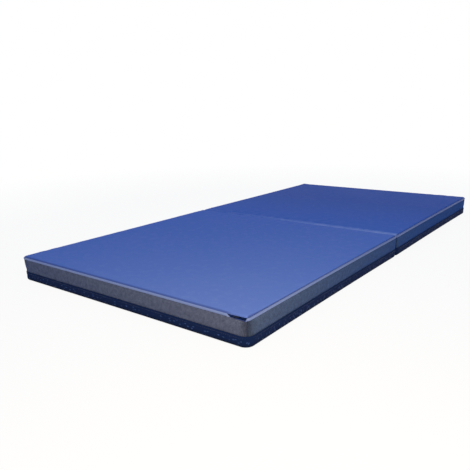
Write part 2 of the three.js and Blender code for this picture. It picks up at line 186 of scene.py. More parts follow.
def nylonSurface(add):
    flat = add("UVMap", (), uv_map="flat")
    cloud = add("TexNoise", {
        "Vector": flat, "Scale": perMetre(coatedNylon["cloudSize"]), "Detail": 3.0, "Roughness": 0.55,
    })
    scuff = add("TexNoise", {
        "Vector": flat, "Scale": perMetre(coatedNylon["scuffSize"]), "Detail": 5.0, "Roughness": 0.7,
    })
    across, along = add("SeparateXYZ", (flat,), None)[:2]
    fold = topCover["foldAt"] * mm
    onNear = add("Math", (along, fold), operation="LESS_THAN")
    onFar = add("Math", (along, fold), operation="GREATER_THAN")

    # Painted shade over the far panel, deepening from the fold
    farPanelShadeTo = fold + coatedNylon["farPanelShadeReach"] * mm
    farPanelShade = add("MapRange", (along, fold, farPanelShadeTo, *coatedNylon["farPanelShadeShare"]))
    farPanelShade = add("Math", (farPanelShade, onFar), operation="MULTIPLY")

    # Painted highlight on the near panel, most at its end and at the right; the real scuffs are added to it
    nearHighlight = add("MapRange", (along, -fold, fold, *coatedNylon["nearHighlight"]))
    nearHighlight = add("Math", (nearHighlight, onNear), operation="MULTIPLY")
    nearHighlightAcross = add("MapRange", (across, *coatedNylon["nearHighlightAcross"]))
    nearHighlight = add("Math", (nearHighlight, nearHighlightAcross), operation="MULTIPLY")
    scuffed = add("MapRange", (scuff, *coatedNylon["scuffShare"]))
    highlightAndScuffs = add("Math", (nearHighlight, scuffed), operation="ADD")

    # Painted highlight along the fold, on the far panel's side and most at the right
    fadesFrom, fadesTo = inMetres(coatedNylon["foldHighlightWidth"])
    foldHighlightMask = add("MapRange", (along, fold + fadesFrom, fold + fadesTo, 1.0, 0.0))
    foldHighlightAcross = add("MapRange", (across, *coatedNylon["foldHighlightSpread"]))
    patches = add("MapRange", (scuff, *coatedNylon["foldHighlightPatches"]))
    for share in (onFar, foldHighlightAcross, patches):
        foldHighlightMask = add("Math", (foldHighlightMask, share), operation="MULTIPLY")

    # Painted shade along the sewn edges, left out at the loose corner over the zip's mouth
    fromMiddle = add("Math", (across,), operation="ABSOLUTE")
    acrossIn = add("Math", (topCover["flatWidth"] / 2 * mm, fromMiddle), operation="SUBTRACT")
    fromFold = add("Math", (along, fold), operation="SUBTRACT")
    alongIn = add("Math", (fromFold,), operation="ABSOLUTE")
    alongIn = add("Math", (topCover["flatLength"] / 2 * mm, alongIn), operation="SUBTRACT")
    fromEdge = add("Math", (acrossIn, alongIn), operation="MINIMUM")
    seamShadeFrom, seamShadeTo = inMetres(coatedNylon["seamShadeFrom"])
    seamShade = add("MapRange", (fromEdge, seamShadeFrom, seamShadeTo, coatedNylon["seamShadeShare"], 0.0))
    loose = add("Math", (across, fromFold), operation="MULTIPLY")
    loose = add("MapRange", (loose, *coatedNylon["looseCorner"], 1.0, 0.0))
    atEnd = add("Math", (alongIn, acrossIn), operation="LESS_THAN")
    loose = add("Math", (loose, atEnd), operation="MULTIPLY")
    sewn = add("Math", (1.0, loose), operation="SUBTRACT")
    seamShade = add("Math", (seamShade, sewn), operation="MULTIPLY")

    colour = add("Mix", {0: cloud, 6: coatedNylon["colour"], 7: coatedNylon["cloud"]}, 2, data_type="RGBA")
    for tint, share in (("farPanelShade", farPanelShade), ("scuff", highlightAndScuffs), ("foldHighlight", foldHighlightMask), ("seamShade", seamShade)):
        colour = add("Mix", {0: share, 6: colour, 7: coatedNylon[tint]}, 2, data_type="RGBA")

    threads = tuple(
        add("TexWave", {
            "Vector": flat, "Scale": waveScale(coatedNylon["thread"]), "Distortion": 1.0, "Detail": 1.0,
        }, "Fac", bands_direction=direction)
        for direction in ("X", "Y")
    )
    weave = add("Math", threads, operation="MULTIPLY")
    return add("BsdfPrincipled", {
        "Base Color": colour,
        "Roughness": add("MapRange", (cloud, *coatedNylon["roughness"])),
        "Normal": add("Bump", {"Height": weave, "Strength": 0.3, "Distance": 0.12 * mm}),
        "IOR": 1.5,
        "Specular IOR Level": 0.2,
    })


# Polyester spacer mesh: two knitted faces held apart by fine threads, so it is matt, a little hairy in a
# low light, and shows rows of small dark openings
spacerMesh = {
    "endYarn": ("#646d87", "#646d87"),  # on the near panel and on the far one
    "sideYarn": ("#576988", "#365c92"),  # along the sides: painted shade, darker and bluer from the zip's end to the far one
    "hiddenYarn": ("#16244a", "#16244a"),  # the bands in the slit, painted darker for the shade they lie in
    "sideShadeFrom": (-0.9, 0.4),  # m along the mat, where one yarn colour turns into the other; along the sides, where the painted shade deepens
    "opening": "#2e354b",
    # the openings of the bands in the slit, painted darker for their shade
    "hiddenOpening": "#0a1124",
    "rows": 3.6,  # mm between rows of openings; about 2 on the real one, drawn coarser to show
    "openShare": (0.1, 0.42),  # of the way from an opening's middle, where the yarn begins and is whole
    "blotch": 11,  # mm, where the yarn bunches
    "blotchShare": (0.3, 0.7, 0.45, 1.1),
    "cornerShade": "#242938",  # painted shade by the corner seams
    "cornerShadeReach": (2, 30),  # mm from a corner
    "soilAndShadeShare": 0.8,
    "sheen": "#3362e0",  # fine blue threads, seen along the side
}


def meshSurface(add, yarn, opening):
    flat = add("UVMap", (), uv_map="flat")
    rows = add("TexVoronoi", {"Vector": flat, "Scale": perMetre(spacerMesh["rows"]), "Randomness": 0.2})
    solid = add("MapRange", (rows, *spacerMesh["openShare"]))
    blotch = add("TexNoise", {
        "Vector": flat, "Scale": perMetre(spacerMesh["blotch"]), "Detail": 5.0, "Roughness": 0.65,
    })
    blotch = add("MapRange", (blotch, *spacerMesh["blotchShare"]))
    tone = add("Math", (solid, blotch), operation="MULTIPLY", use_clamp=True)
    across, along = add("SeparateXYZ", (add("TexCoord", (), "Object"),), None)[:2]
    # Painted shade along the sides: the yarn darkens and turns bluer along the mat, away from the lamp
    tint = add("MapRange", (along, *spacerMesh["sideShadeFrom"]))
    nearYarn, farYarn = spacerMesh[yarn]
    yarnColour = add("Mix", {0: tint, 6: nearYarn, 7: farYarn}, 2, data_type="RGBA")
    colour = add("Mix", {0: tone, 6: spacerMesh[opening], 7: yarnColour}, 2, data_type="RGBA")
    # Painted shade by the corner seams, deepest at a corner
    toEdges = []
    for size, place in (("width", across), ("length", along)):
        place = add("Math", (place,), operation="ABSOLUTE")
        toEdges.append(add("Math", (mat[size] / 2 * mm, place), operation="SUBTRACT"))
    toCorner = add("Math", tuple(toEdges), operation="MAXIMUM")
    seamShade = add("MapRange", (toCorner, *inMetres(spacerMesh["cornerShadeReach"]), spacerMesh["soilAndShadeShare"], 0.0))
    return add("BsdfPrincipled", {
        "Base Color": add("Mix", {0: seamShade, 6: colour, 7: spacerMesh["cornerShade"]}, 2, data_type="RGBA"),
        "Roughness": 0.9,
        "Normal": add("Bump", {"Height": solid, "Strength": 0.5, "Distance": 0.5 * mm}),
        "Specular IOR Level": 0.08,
        "Sheen Weight": 0.8,
        "Sheen Roughness": 0.3,
        "Sheen Tint": spacerMesh["sheen"],
    })


# Satin bias tape, woven: a light line with a soft sheen and slanting threads
satinTape = {
    "colour": "#7f91c6",
    "shade": "#6175ae",
    "rib": 1.4,  # mm
    "farPipingShade": "#3d57a8",  # painted shade on the far panel's piping, which lies further from the lamp
    "farPipingShadeFrom": (-0.7, 0.4),  # m along the mat
    "farPipingShadeShare": 0.6,
}


def tapeSurface(add):
    slant = add("TexWave", {
        "Vector": add("UVMap", (), uv_map="flat"), "Scale": waveScale(satinTape["rib"]),
        "Distortion": 0.6, "Detail": 1.0,
    }, "Fac", bands_direction="DIAGONAL")
    colour = add("Mix", {0: slant, 6: satinTape["shade"], 7: satinTape["colour"]}, 2, data_type="RGBA")
    # Painted shade on the piping, deepening along the mat away from the lamp
    along = add("SeparateXYZ", (add("TexCoord", (), "Object"),), "Y")
    farPipingShade = add("MapRange", (along, *satinTape["farPipingShadeFrom"], 0.0, satinTape["farPipingShadeShare"]))
    return add("BsdfPrincipled", {
        "Base Color": add("Mix", {0: farPipingShade, 6: colour, 7: satinTape["farPipingShade"]}, 2, data_type="RGBA"),
        "Roughness": 0.55,
        "Normal": add("Bump", {"Height": slant, "Strength": 0.4, "Distance": 0.2 * mm}),
    })


# Non-slip base cloth: navy woven polyester printed with rows of small PVC dots, which catch the light
dottedBase = {
    "cloth": "#0f2149",
    "dot": "#3b5690",
    "pitch": 6.4,  # mm between dots
    "dotWidth": 3.6,
    "stretch": (0.5, 1, 1),  # the dots are ovals laid at a slant
    "slant": 0.5,  # radians
    "plainFrom": (20, 24),  # mm up the side, above which the cloth is plain
    "floorShade": "#050a1a",  # painted shade by the floor, for the contact shadow
    "floorShadeTo": (3, 15),  # mm up the side
    "floorShadeShare": 0.6,
    "weave": 1.6,  # mm; the real 0.5 is drawn coarser to show
    "weaveHeight": 0.12,  # share of a dot's height
    "soil": 60,  # mm
    "soilAndShadeShare": (0.35, 0.65, 0.25, 0.85),
    "roughness": (0.8, 0.5),  # of the cloth and of a dot
}


def baseSurface(add):
    flat = add("UVMap", (), uv_map="flat")
    slanted = add("Mapping", {
        "Vector": flat, "Rotation": (0, 0, dottedBase["slant"]), "Scale": dottedBase["stretch"],
    })
    rim = dottedBase["dotWidth"] / dottedBase["pitch"] / 2
    pitch = perMetre(dottedBase["pitch"])
    dot = add("TexVoronoi", {"Vector": slanted, "Scale": pitch, "Randomness": 0.6})
    dot = add("MapRange", (dot, rim * 0.7, rim * 1.2, 1.0, 0.0))
    upward = add("SeparateXYZ", (add("TexCoord", (), "Object"),), "Z")
    plain = add("MapRange", (upward, *inMetres(dottedBase["plainFrom"]), 1.0, 0.0))
    dot = add("Math", (dot, plain), operation="MULTIPLY")
    soil = add("TexNoise", {"Vector": flat, "Scale": perMetre(dottedBase["soil"]), "Detail": 5.0})
    soil = add("MapRange", (soil, *dottedBase["soilAndShadeShare"]))
    share = add("Math", (dot, soil), operation="MULTIPLY", use_clamp=True)
    colour = add("Mix", {0: share, 6: dottedBase["cloth"], 7: dottedBase["dot"]}, 2, data_type="RGBA")
    # Painted shade, darker towards the floor
    floorShade = add("MapRange", (upward, *inMetres(dottedBase["floorShadeTo"]), dottedBase["floorShadeShare"], 0.0))
    weave = add("TexChecker", {"Vector": flat, "Scale": perMetre(dottedBase["weave"])}, "Fac")
    weave = add("Math", (weave, dottedBase["weaveHeight"]), operation="MULTIPLY")
    height = add("Math", (dot, weave), operation="ADD")
    return add("BsdfPrincipled", {
        "Base Color": add("Mix", {0: floorShade, 6: colour, 7: dottedBase["floorShade"]}, 2, data_type="RGBA"),
        "Roughness": add("MapRange", (dot, 0.0, 1.0, *dottedBase["roughness"])),
        "Normal": add("Bump", {"Height": height, "Strength": 0.8, "Distance": 0.5 * mm}),
        "Specular IOR Level": 0.06,
    })


# A surface of two colours mixed by one fine pattern, which may also lift it and change its shine. The pattern
# is laid on the flat cloth, or else in the piece.
def patternedSurface(add, look):
    place = add("UVMap", (), uv_map="flat") if look["onCloth"] else add("TexCoord", (), "Object")
    kind, size, details = look["pattern"]
    isWave = kind == "TexWave"
    settings = {"output": "Fac", "bands_direction": "DIAGONAL"} if isWave else {}
    scale = waveScale(size) if isWave else perMetre(size)
    pattern = add(kind, {"Vector": place, "Scale": scale, **details}, **settings)
    share = add("MapRange", (pattern, *look["share"])) if "share" in look else pattern
    first, second = look["colours"]
    inputs = dict(look["constant"])
    inputs["Base Color"] = add("Mix", {0: share, 6: first, 7: second}, 2, data_type="RGBA")
    if "relief" in look:
        source, strength, depth = look["relief"]
        height = share if source == "share" else pattern
        inputs["Normal"] = add("Bump", {"Height": height, "Strength": strength, "Distance": depth * mm})
    if "roughness" in look:
        inputs["Roughness"] = add("MapRange", (pattern, *look["roughness"]))
    return add("BsdfPrincipled", inputs)


# Polyurethane foam, sliced: pale, matt and full of small open cells
slicedFoam = {
    "onCloth": True,
    "colours": ("#b7ab86", "#e4dcc0"),  # of the cells and of their walls
    "pattern": ("TexVoronoi", 2.2, {}),  # its kind, and its size in mm
    "share": (0.1, 0.5),
    "relief": ("share", 0.6, 0.8),  # what it follows, its strength and its depth in mm
    "constant": {"Roughness": 0.95},
}

# Polyester tape, woven: navy, matt, in a fine twill
zipCloth = {
    "onCloth": True,
    "colours": ("#0f2250", "#1b3269"),
    "pattern": ("TexWave", 1.2, {"Distortion": 1.5, "Detail": 1.0}),
    "relief": ("pattern", 0.5, 0.15),
    "constant": {"Roughness": 0.85, "Specular IOR Level": 0.1},
}

# Nylon coil, extruded and wound: smooth navy with a soft gleam on each turn
nylonCoil = {
    "onCloth": False,
    "colours": ("#1a2548", "#2c3a63"),  # of the nylon and where it is worn
    "pattern": ("TexNoise", 5, {"Detail": 3.0}),
    "roughness": (0.3, 0.7, 0.3, 0.5),
    "constant": {"IOR": 1.53},
}

# Zinc, die-cast and enamelled: dark, satin, rubbed to a paler tone in patches
enamelledZinc = {
    "onCloth": False,
    "colours": ("#0f1832", "#223056"),  # of the enamel and where it is rubbed
    "pattern": ("TexNoise", 3, {"Detail": 4.0}),
    "share": (0.45, 0.75),
    "relief": ("pattern", 0.2, 0.1),
    "roughness": (0.3, 0.7, 0.4, 0.6),
    "constant": {"Specular IOR Level": 0.25},
}

# Polyester sewing thread, twisted: slightly glossy, with slanting strands
navyTwist = {
    "onCloth": False,
    "colours": ("#161f3b", "#2e3c66"),
    "pattern": ("TexWave", 0.9, {"Distortion": 0.4, "Detail": 1.0}),
    "constant": {"Roughness": 0.5},
}
blueTwist = {**navyTwist, "colours": ("#34498a", "#4a63a8")}


# Meshes


def newPiece(name, points, faces, material, flat=None):
    mesh = bpy.data.meshes.new(name)
    mesh.from_pydata((np.asarray(points) * mm).tolist(), [], [list(map(int, face)) for face in faces])
    mesh.materials.append(material)
    if flat is not None:
        layer = mesh.uv_layers.new(name="flat")
        corners = np.empty(len(mesh.loops), dtype=np.int64)
        mesh.loops.foreach_get("vertex_index", corners)
        layer.data.foreach_set("uv", (np.asarray(flat)[corners] * mm).astype(np.float32).ravel())
    mesh.polygons.foreach_set("use_smooth", np.ones(len(mesh.polygons), dtype=bool))
    mesh.update()
    piece = bpy.data.objects.new(name, mesh)
    bpy.context.scene.collection.objects.link(piece)
    return piece


# Says which body a piece rides on, and hides the solids that it takes the place of
def declare(piece, body, slot, *nodes):
    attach(piece, body)
    if nodes:
        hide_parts(*nodes)


def applyModifiers(piece):
    graph = bpy.context.evaluated_depsgraph_get()
    shaped = bpy.data.meshes.new_from_object(piece.evaluated_get(graph))
    piece.modifiers.clear()
    old = piece.data
    shaped.name = old.name
    piece.data = shaped
    bpy.data.meshes.remove(old)
    shaped.polygons.foreach_set("use_smooth", np.ones(len(shaped.polygons), dtype=bool))


def refine(piece, levels=1):
    smoother = piece.modifiers.new("refine", "SUBSURF")
    smoother.levels = levels
    smoother.render_levels = levels
    smoother.uv_smooth = "PRESERVE_BOUNDARIES"


def thicken(piece, thickness):
    layer = piece.modifiers.new("thickness", "SOLIDIFY")
    layer.thickness = thickness * mm
    layer.offset = -1


def faceOutward(piece):
    work = bmesh.new()
    work.from_mesh(piece.data)
    bmesh.ops.recalc_face_normals(work, faces=work.faces)
    work.to_mesh(piece.data)
    work.free()


def smooth(share):
    share = np.clip(share, 0, 1)
    return share * share * (3 - 2 * share)


# Quads through rows of points, each row as long as the others
def stripFaces(rowCount, columnCount, closed=False):
    faces = []
    for k in range(rowCount - 1):
        lower, upper = k * columnCount, (k + 1) * columnCount
        for i in range(columnCount if closed else columnCount - 1):
            j = (i + 1) % columnCount
            faces.append((lower + i, lower + j, upper + j, upper + i))
    return faces


# A closed tube or bar through loops of points, capped at its ends
def barPiece(name, loops, material, flat=None):
    count = len(loops[0])
    last = (len(loops) - 1) * count
    faces = stripFaces(len(loops), count, closed=True)
    faces.append(list(range(count))[::-1])
    faces.append([last + i for i in range(count)])
    bar = newPiece(name, np.vstack(loops), faces, material, flat)
    faceOutward(bar)
    return bar


def runLengths(points):
    steps = np.linalg.norm(np.diff(points, axis=0), axis=1)
    return np.concatenate([[0], np.cumsum(steps)])


# A panel's outline, about its own middle and counter-clockwise, with the zip's end towards -Y. A corner's
# station is given at the corner's tip, with how far it moves for each millimetre of the radius there.
outline = {
    "arc": 3,  # steps in half a corner
    "across": 58,
    "along": 50,
    "foldRows": 9,  # closer steps beside the fold, where the cloth creases
    "foldZone": 66,  # mm
    "mouthLength": 64,
    "mouthOpens": 26,  # mm over which the zip's mouth opens, and at its other end shuts
    "mouthShuts": 9,
    "zipEase": 26,  # mm from a corner over which the seam begins to leave room for the slider
}
stationKind = np.dtype([
    ("spot", float, 2), ("inward", float, 2), ("round", float, 2), ("low", float), ("high", float),
    ("run", float), ("fold", float), ("mouth", float), ("zip", float),
])


def sideStations(start, end, facing, drawIn, places):
    out = np.array([math.cos(facing), math.sin(facing)])
    along = np.array([-out[1], out[0]])
    rows = []
    for (tip, low, high), turns in ((start, range(-outline["arc"], 1)), (end, range(outline["arc"] + 1))):
        for turn in turns:
            angle = facing + math.pi / 4 * turn / outline["arc"]
            away = np.array([math.cos(angle), math.sin(angle)])
            rows.append((tip, -away, away - np.sign(tip), low, high, 0, 0, 0, 0))
    first = np.array(start[0]) + along * start[1]
    last = np.array(end[0]) - along * end[1]
    straight = []
    for place in places:
        spot = first + (last - first) * place - out * drawIn * math.sin(math.pi * place)
        straight.append((spot, -out, (0, 0), 0, 0, 0, 0, 0, 0))
    middle = outline["arc"] + 1
    stations = np.array(rows[:middle] + straight + rows[middle:], dtype=stationKind)
    stations["run"] = runLengths(moved(stations, 0, mat["seam"])[:, :2])
    return stations


def panelSides(grain=1):
    sideX, endY = mat["width"] / 2, panelLength / 2
    endRadii = (mat["endCorner"], mat["endSeamCorner"])
    foldRadii = (mat["foldCorner"], mat["foldSeamCorner"])
    endLeft, endRight = ((-sideX, -endY), *endRadii), ((sideX, -endY), *endRadii)
    foldRight, foldLeft = ((sideX, endY), *foldRadii), ((-sideX, endY), *foldRadii)
    across = np.linspace(0, 1, outline["across"] * grain + 1)[1:-1]
    bend = 1 - outline["foldZone"] / (panelLength - mat["endCorner"] - mat["foldCorner"])
    along = np.concatenate([
        np.linspace(0, bend, outline["along"] * grain + 1)[1:-1],
        np.linspace(bend, 1, outline["foldRows"] * grain + 1)[:-1],
    ])
    sides = {
        "end": sideStations(endLeft, endRight, -math.pi / 2, mat["endDrawIn"], across),
        "right": sideStations(endRight, foldRight, 0, mat["sideDrawIn"], along),
        "fold": sideStations(foldRight, foldLeft, math.pi / 2, 0, across),
        "left": sideStations(foldLeft, endLeft, math.pi, mat["sideDrawIn"], 1 - along[::-1]),
    }
    for name, rows in sides.items():
        run, whole = rows["run"], rows["run"][-1]
        if name == "fold":
            rows["fold"] = smooth(np.minimum(run, whole - run) / run[outline["arc"]])
        if name == "end":
            opening = smooth((outline["mouthLength"] - whole + run) / outline["mouthOpens"])
            rows["mouth"] = opening * smooth((whole - run) / outline["mouthShuts"])
            rows["zip"] = smooth(np.minimum(run, whole - run) / outline["zipEase"])
    return sides


def ringOf(sides):
    return np.concatenate([rows[:-1] for rows in sides.values()])


# The outline's course round a panel but for the side at the fold
def openRing(sides):
    arc = outline["arc"]
    return np.concatenate([
        sides["fold"][-arc - 1 : -1], sides["left"][:-1], sides["end"][:-1], sides["right"][:-1],
        sides["fold"][: arc + 1],
    ])


def moved(rows, inset, height):
    inset, height = (np.broadcast_to(value, len(rows)).astype(float) for value in (inset, height))
    share = np.clip((height - mat["panRim"]) / (bandTop - mat["panRim"]), 0, 1)
    radius = rows["low"] + (rows["high"] - rows["low"]) * share
    radius = np.maximum(radius, inset + mat["leastCorner"])
    spots = rows["spot"] + rows["round"] * radius[:, None] + rows["inward"] * inset[:, None]
    return np.column_stack([spots, height])


# The near panel's points where they are, and turned round for the far one
def turned(points, panel):
    return np.asarray(points) * ((1, 1, 1) if panel == "near" else (-1, -1, 1))


def ontoMat(points, panel):
    return turned(np.asarray(points, dtype=float) - (0, panelCentre, 0), panel)


# Quads that fill a ring of the outline, whose points are numbered from firstIndex; the new points inside it
# are numbered from nextIndex
def fillRing(sides, level, firstIndex, nextIndex):
    parts, start, count = [], 0, len(level)
    for rows in sides.values():
        parts.append(level[np.arange(start, start + len(rows)) % count, :2])
        start += len(rows) - 1
    end, right, fold, left = parts[0], parts[1], parts[2][::-1], parts[3][::-1]
    u = np.linspace(0, 1, len(end))[:, None, None]
    v = np.linspace(0, 1, len(right))[None, :, None]
    edges = (1 - v) * end[:, None] + v * fold[:, None] + (1 - u) * left[None] + u * right[None]
    corners = (1 - u) * (1 - v) * end[0] + u * (1 - v) * end[-1] + (1 - u) * v * fold[0] + u * v * fold[-1]
    grid = edges - corners
    across, along = grid.shape[:2]
    order = np.arange(count) + firstIndex
    index = np.zeros((across, along), dtype=int)
    index[:, 0] = order[np.arange(across)]
    index[-1, :] = order[(across - 1 + np.arange(along)) % count]
    index[::-1, -1] = order[(across + along - 2 + np.arange(across)) % count]
    index[0, ::-1] = order[(2 * across + along - 3 + np.arange(along)) % count]
    index[1:-1, 1:-1] = nextIndex + np.arange((across - 2) * (along - 2)).reshape(across - 2, along - 2)
    faces = [
        (index[i, j], index[i + 1, j], index[i + 1, j + 1], index[i, j + 1])
        for i in range(across - 1) for j in range(along - 1)
    ]
    return grid[1:-1, 1:-1].reshape(-1, 2), faces


# The cloth's flat places along rings of points, laid out from the first ring
def flatRings(levels, ring, sign=1):
    lengths, flat = np.zeros(len(ring)), [levels[0][:, :2]]
    for before, level in zip(levels, levels[1:]):
        lengths = lengths + np.linalg.norm(level - before, axis=1)
        flat.append(levels[0][:, :2] - ring["inward"] * lengths[:, None] * sign)
    return flat


# Top cover: one sheet over both panels. It turns over a shoulder from the seam, lies crowned on the foam and
# dips between the panels.
topCover = {
    "foldAt": 466.5,  # mm along the cloth from the near panel's middle to the middle of the slit
    "flatWidth": 919.8,  # mm between its sewn edges, laid flat
    "flatLength": 1847.6,
    "lip": 76.7,  # mm, the height of its edge over the piping
    "lipInset": 3.4,
    "zipRoom": 1.2,  # mm the lip stands further out along the zip, so that the slider passes behind it
    "zipTuck": 0.85,  # share of the hem's turn-in that it lacks there
    "reach": 9,  # mm from the lip in to the flat
    "foldReach": 13,
    "shoulderRows": 4,
    "stitchRow": 1,  # the row of the shoulder that the seam's stitches press in
    "stitchSink": 0.5,
    "foldSag": 1.2,  # how much lower the foam lies beside the fold
    "foldSagWidth": 40,
    "dipDepth": 4.6,
    "dipSteps": 3,
    "thickness": 1.0,
    "tuck": (0.8, 3.4),  # mm the hem runs in above the piping
    "hemDrop": 0.7,
    "crownPower": 2.6,
    "flapLift": 1.6,  # of the loose corner over the zip's mouth
    "flapReach": 60,
}


def shoulderPoint(rows, turn):
    fold, mouth = rows["fold"], rows["mouth"]
    lip = (topCover["lip"] + mat["mouthLift"] * mouth) * (1 - fold) + mat["foldEdge"] * fold
    reach = topCover["reach"] * (1 - fold) + topCover["foldReach"] * fold
    lipInset = topCover["lipInset"] * (1 - fold) - topCover["zipRoom"] * rows["zip"]
    inset = lipInset + reach * (1 - math.cos(turn * math.pi / 2))
    height = lip + (mat["shoulder"] - lip) * math.sin(turn * math.pi / 2)
    return inset, height


def crownRise(points):
    x = np.clip(np.abs(points[:, 0]) / (mat["width"] / 2), 0, 1) ** topCover["crownPower"]
    y = np.clip(np.abs(points[:, 1]) / (panelLength / 2), 0, 1) ** topCover["crownPower"]
    return (mat["crown"] - mat["shoulder"]) * (1 - x) * (1 - y)


def foldSag(points):
    fromFold = panelLength / 2 - points[:, 1]
    return topCover["foldSag"] * (1 - smooth(fromFold / topCover["foldSagWidth"]))


def flapRise(points):
    corner = np.array([mat["width"] / 2, -panelLength / 2])
    away = np.linalg.norm(points[:, :2] - corner, axis=1)
    return topCover["flapLift"] * (1 - smooth(away / topCover["flapReach"]))


def coverHalf():
    sides = panelSides()
    ring = ringOf(sides)
    steps = topCover["shoulderRows"]
    levels = []
    for inward in topCover["tuck"][::-1]:
        inset, height = shoulderPoint(ring, 0)
        inward = inward * (1 - topCover["zipTuck"] * ring["zip"])
        levels.append(moved(ring, inset + inward, height - topCover["hemDrop"]))
    for k in range(steps + 1):
        inset, height = shoulderPoint(ring, k / steps)
        sink = topCover["stitchSink"] if k == topCover["stitchRow"] else 0
        level = moved(ring, inset + sink, height - sink)
        level[:, 2] += (flapRise(level) - foldSag(level)) * k / steps
        levels.append(level)
    inner, top = fillRing(sides, levels[-1], (len(levels) - 1) * len(ring), len(levels) * len(ring))
    height = mat["shoulder"] + crownRise(inner) - foldSag(inner) + flapRise(inner)
    points = np.vstack(levels + [np.column_stack([inner, height])])
    flat = np.vstack(flatRings(levels[::-1], ring)[::-1] + [inner])
    return points, stripFaces(len(levels), len(ring), closed=True) + top, flat, ring


# The sheet's dip between the panels, from the near panel's edge to the middle of the slit, in place of the
# hem there
def withDip(points, faces, flat, ring):
    count, hemRows = len(ring), len(topCover["tuck"])
    onFold = np.flatnonzero(ring["fold"] > 0.999)
    edge = hemRows * count + onFold
    hem = {k * count + i for k in range(hemRows) for i in onFold[:-1]}
    faces = [face for face in faces if face[0] not in hem]
    rows, newPoints, newFlat, run, before = [edge], [], [], 0, points[edge[0]]
    for k in range(1, topCover["dipSteps"] + 1):
        angle = math.pi / 2 * k / topCover["dipSteps"]
        row, laid = points[edge].copy(), flat[edge].copy()
        row[:, 1] = panelLength / 2 + mat["slit"] / 2 * (1 - math.cos(angle))
        row[:, 2] = mat["foldEdge"] - topCover["dipDepth"] * math.sin(angle)
        run += float(np.linalg.norm(row[0] - before))
        laid[:, 1] += run
        before = row[0]
        rows.append(len(points) + (k - 1) * len(edge) + np.arange(len(edge)))
        newPoints.append(row)
        newFlat.append(laid)
    for upper, lower in zip(rows, rows[1:]):
        for i in range(len(edge) - 1):
            faces.append((upper[i], upper[i + 1], lower[i + 1], lower[i]))
    return np.vstack([points] + newPoints), faces, np.vstack([flat] + newFlat)


def joinAlongFold(piece):
    work = bmesh.new()
    work.from_mesh(piece.data)
    middle = [v for v in work.verts if abs(v.co.y) < 0.01 * mm]
    bmesh.ops.remove_doubles(work, verts=middle, dist=0.05 * mm)
    bmesh.ops.delete(work, geom=[v for v in work.verts if not v.link_faces], context="VERTS")
    bmesh.ops.recalc_face_normals(work, faces=work.faces)
    work.to_mesh(piece.data)
    work.free()


# Cloth simulation of the sheet: it is held along its seams and pressed to the foam by soft springs, and what
# slack it has at the fold and the corners gathers into low ripples
settling = {
    "frames": 20,
    "slack": 0.03,
    "tautest": 0.03,  # share of the slack that the sheet has everywhere
    "foamHold": 0.4,
    "mass": 0.2,
    "bending": 0.02,
    "stiffness": 30,
    "unevenness": 0.05,  # mm, of the foam under it at the start
    "ripple": (-1.6, 2),  # mm, the most it may sink and rise
    "heldBelow": 80.4,  # mm
    "foldReach": 60,
    "foldWaves": (53, 31),  # mm, over which the slack along the fold comes and goes
    "cornerReach": 110,
    "cornerSlack": 0.6,
}


def weightGroup(piece, name, weights):
    group = piece.vertex_groups.new(name=name)
    for i, weight in enumerate(weights):
        group.add([i], float(weight), "REPLACE")


def settleCloth(piece, seed):
    count = len(piece.data.vertices)
    start = np.empty(count * 3)
    piece.data.vertices.foreach_get("co", start)
    start = start.reshape(-1, 3)
    rng = np.random.default_rng(seed)
    x, y, z = start.T / mm
    held = z < settling["heldBelow"]
    longWave, shortWave = settling["foldWaves"]
    alongFold = 0.55 + 0.45 * np.sin(x / longWave + 2 * np.sin(x / shortWave))
    byFold = np.exp(-np.abs(y) / settling["foldReach"]) * alongFold
    toCorner = np.hypot(mat["width"] / 2 - np.abs(x), mat["length"] / 2 - np.abs(y))
    byCorner = np.exp(-toCorner / settling["cornerReach"]) * settling["cornerSlack"]
    work = piece.copy()
    work.data = piece.data.copy()
    scene = bpy.context.scene
    scene.collection.objects.link(work)
    uneven = start.copy()
    uneven[:, 2] += rng.normal(0, settling["unevenness"] * mm, count) * ~held
    work.data.vertices.foreach_set("co", uneven.ravel())
    weightGroup(work, "hold", np.where(held, 1, settling["foamHold"]))
    weightGroup(work, "taut", 1 - np.clip(byFold + byCorner, settling["tautest"], 1))
    cloth = work.modifiers.new("cloth", "CLOTH")
    values = {
        "quality": 6,
        "mass": settling["mass"],
        "tension_stiffness": settling["stiffness"],
        "compression_stiffness": settling["stiffness"],
        "shear_stiffness": settling["stiffness"] / 3,
        "bending_stiffness": settling["bending"],
        "vertex_group_mass": "hold",
        "pin_stiffness": 1,
        "vertex_group_shrink": "taut",
        "shrink_min": -settling["slack"],
        "shrink_max": 0,
    }
    for name, value in values.items():
        setattr(cloth.settings, name, value)
    cloth.settings.effector_weights.gravity = 0
    cloth.collision_settings.use_collision = False
    cloth.point_cache.frame_start = 1
    cloth.point_cache.frame_end = settling["frames"]
    for frameNumber in range(1, settling["frames"] + 1):
        scene.frame_set(frameNumber)
    graph = bpy.context.evaluated_depsgraph_get()
    shaped = np.empty(count * 3)
    work.evaluated_get(graph).data.vertices.foreach_get("co", shaped)
    rise = (shaped.reshape(-1, 3)[:, 2] - start[:, 2]) / mm
    lowest, highest, spread = (round(value, 2) for value in (rise.min(), rise.max(), rise[~held].std()))
    print("cloth settled: rise from", lowest, "to", highest, "mm, spread", spread)
    start[:, 2] += np.clip(rise, *settling["ripple"]) * mm * ~held
    piece.data.vertices.foreach_set("co", start.ravel())
    piece.data.update()
    scene.frame_set(1)
    spent = work.data
    bpy.data.objects.remove(work)
    bpy.data.meshes.remove(spent)


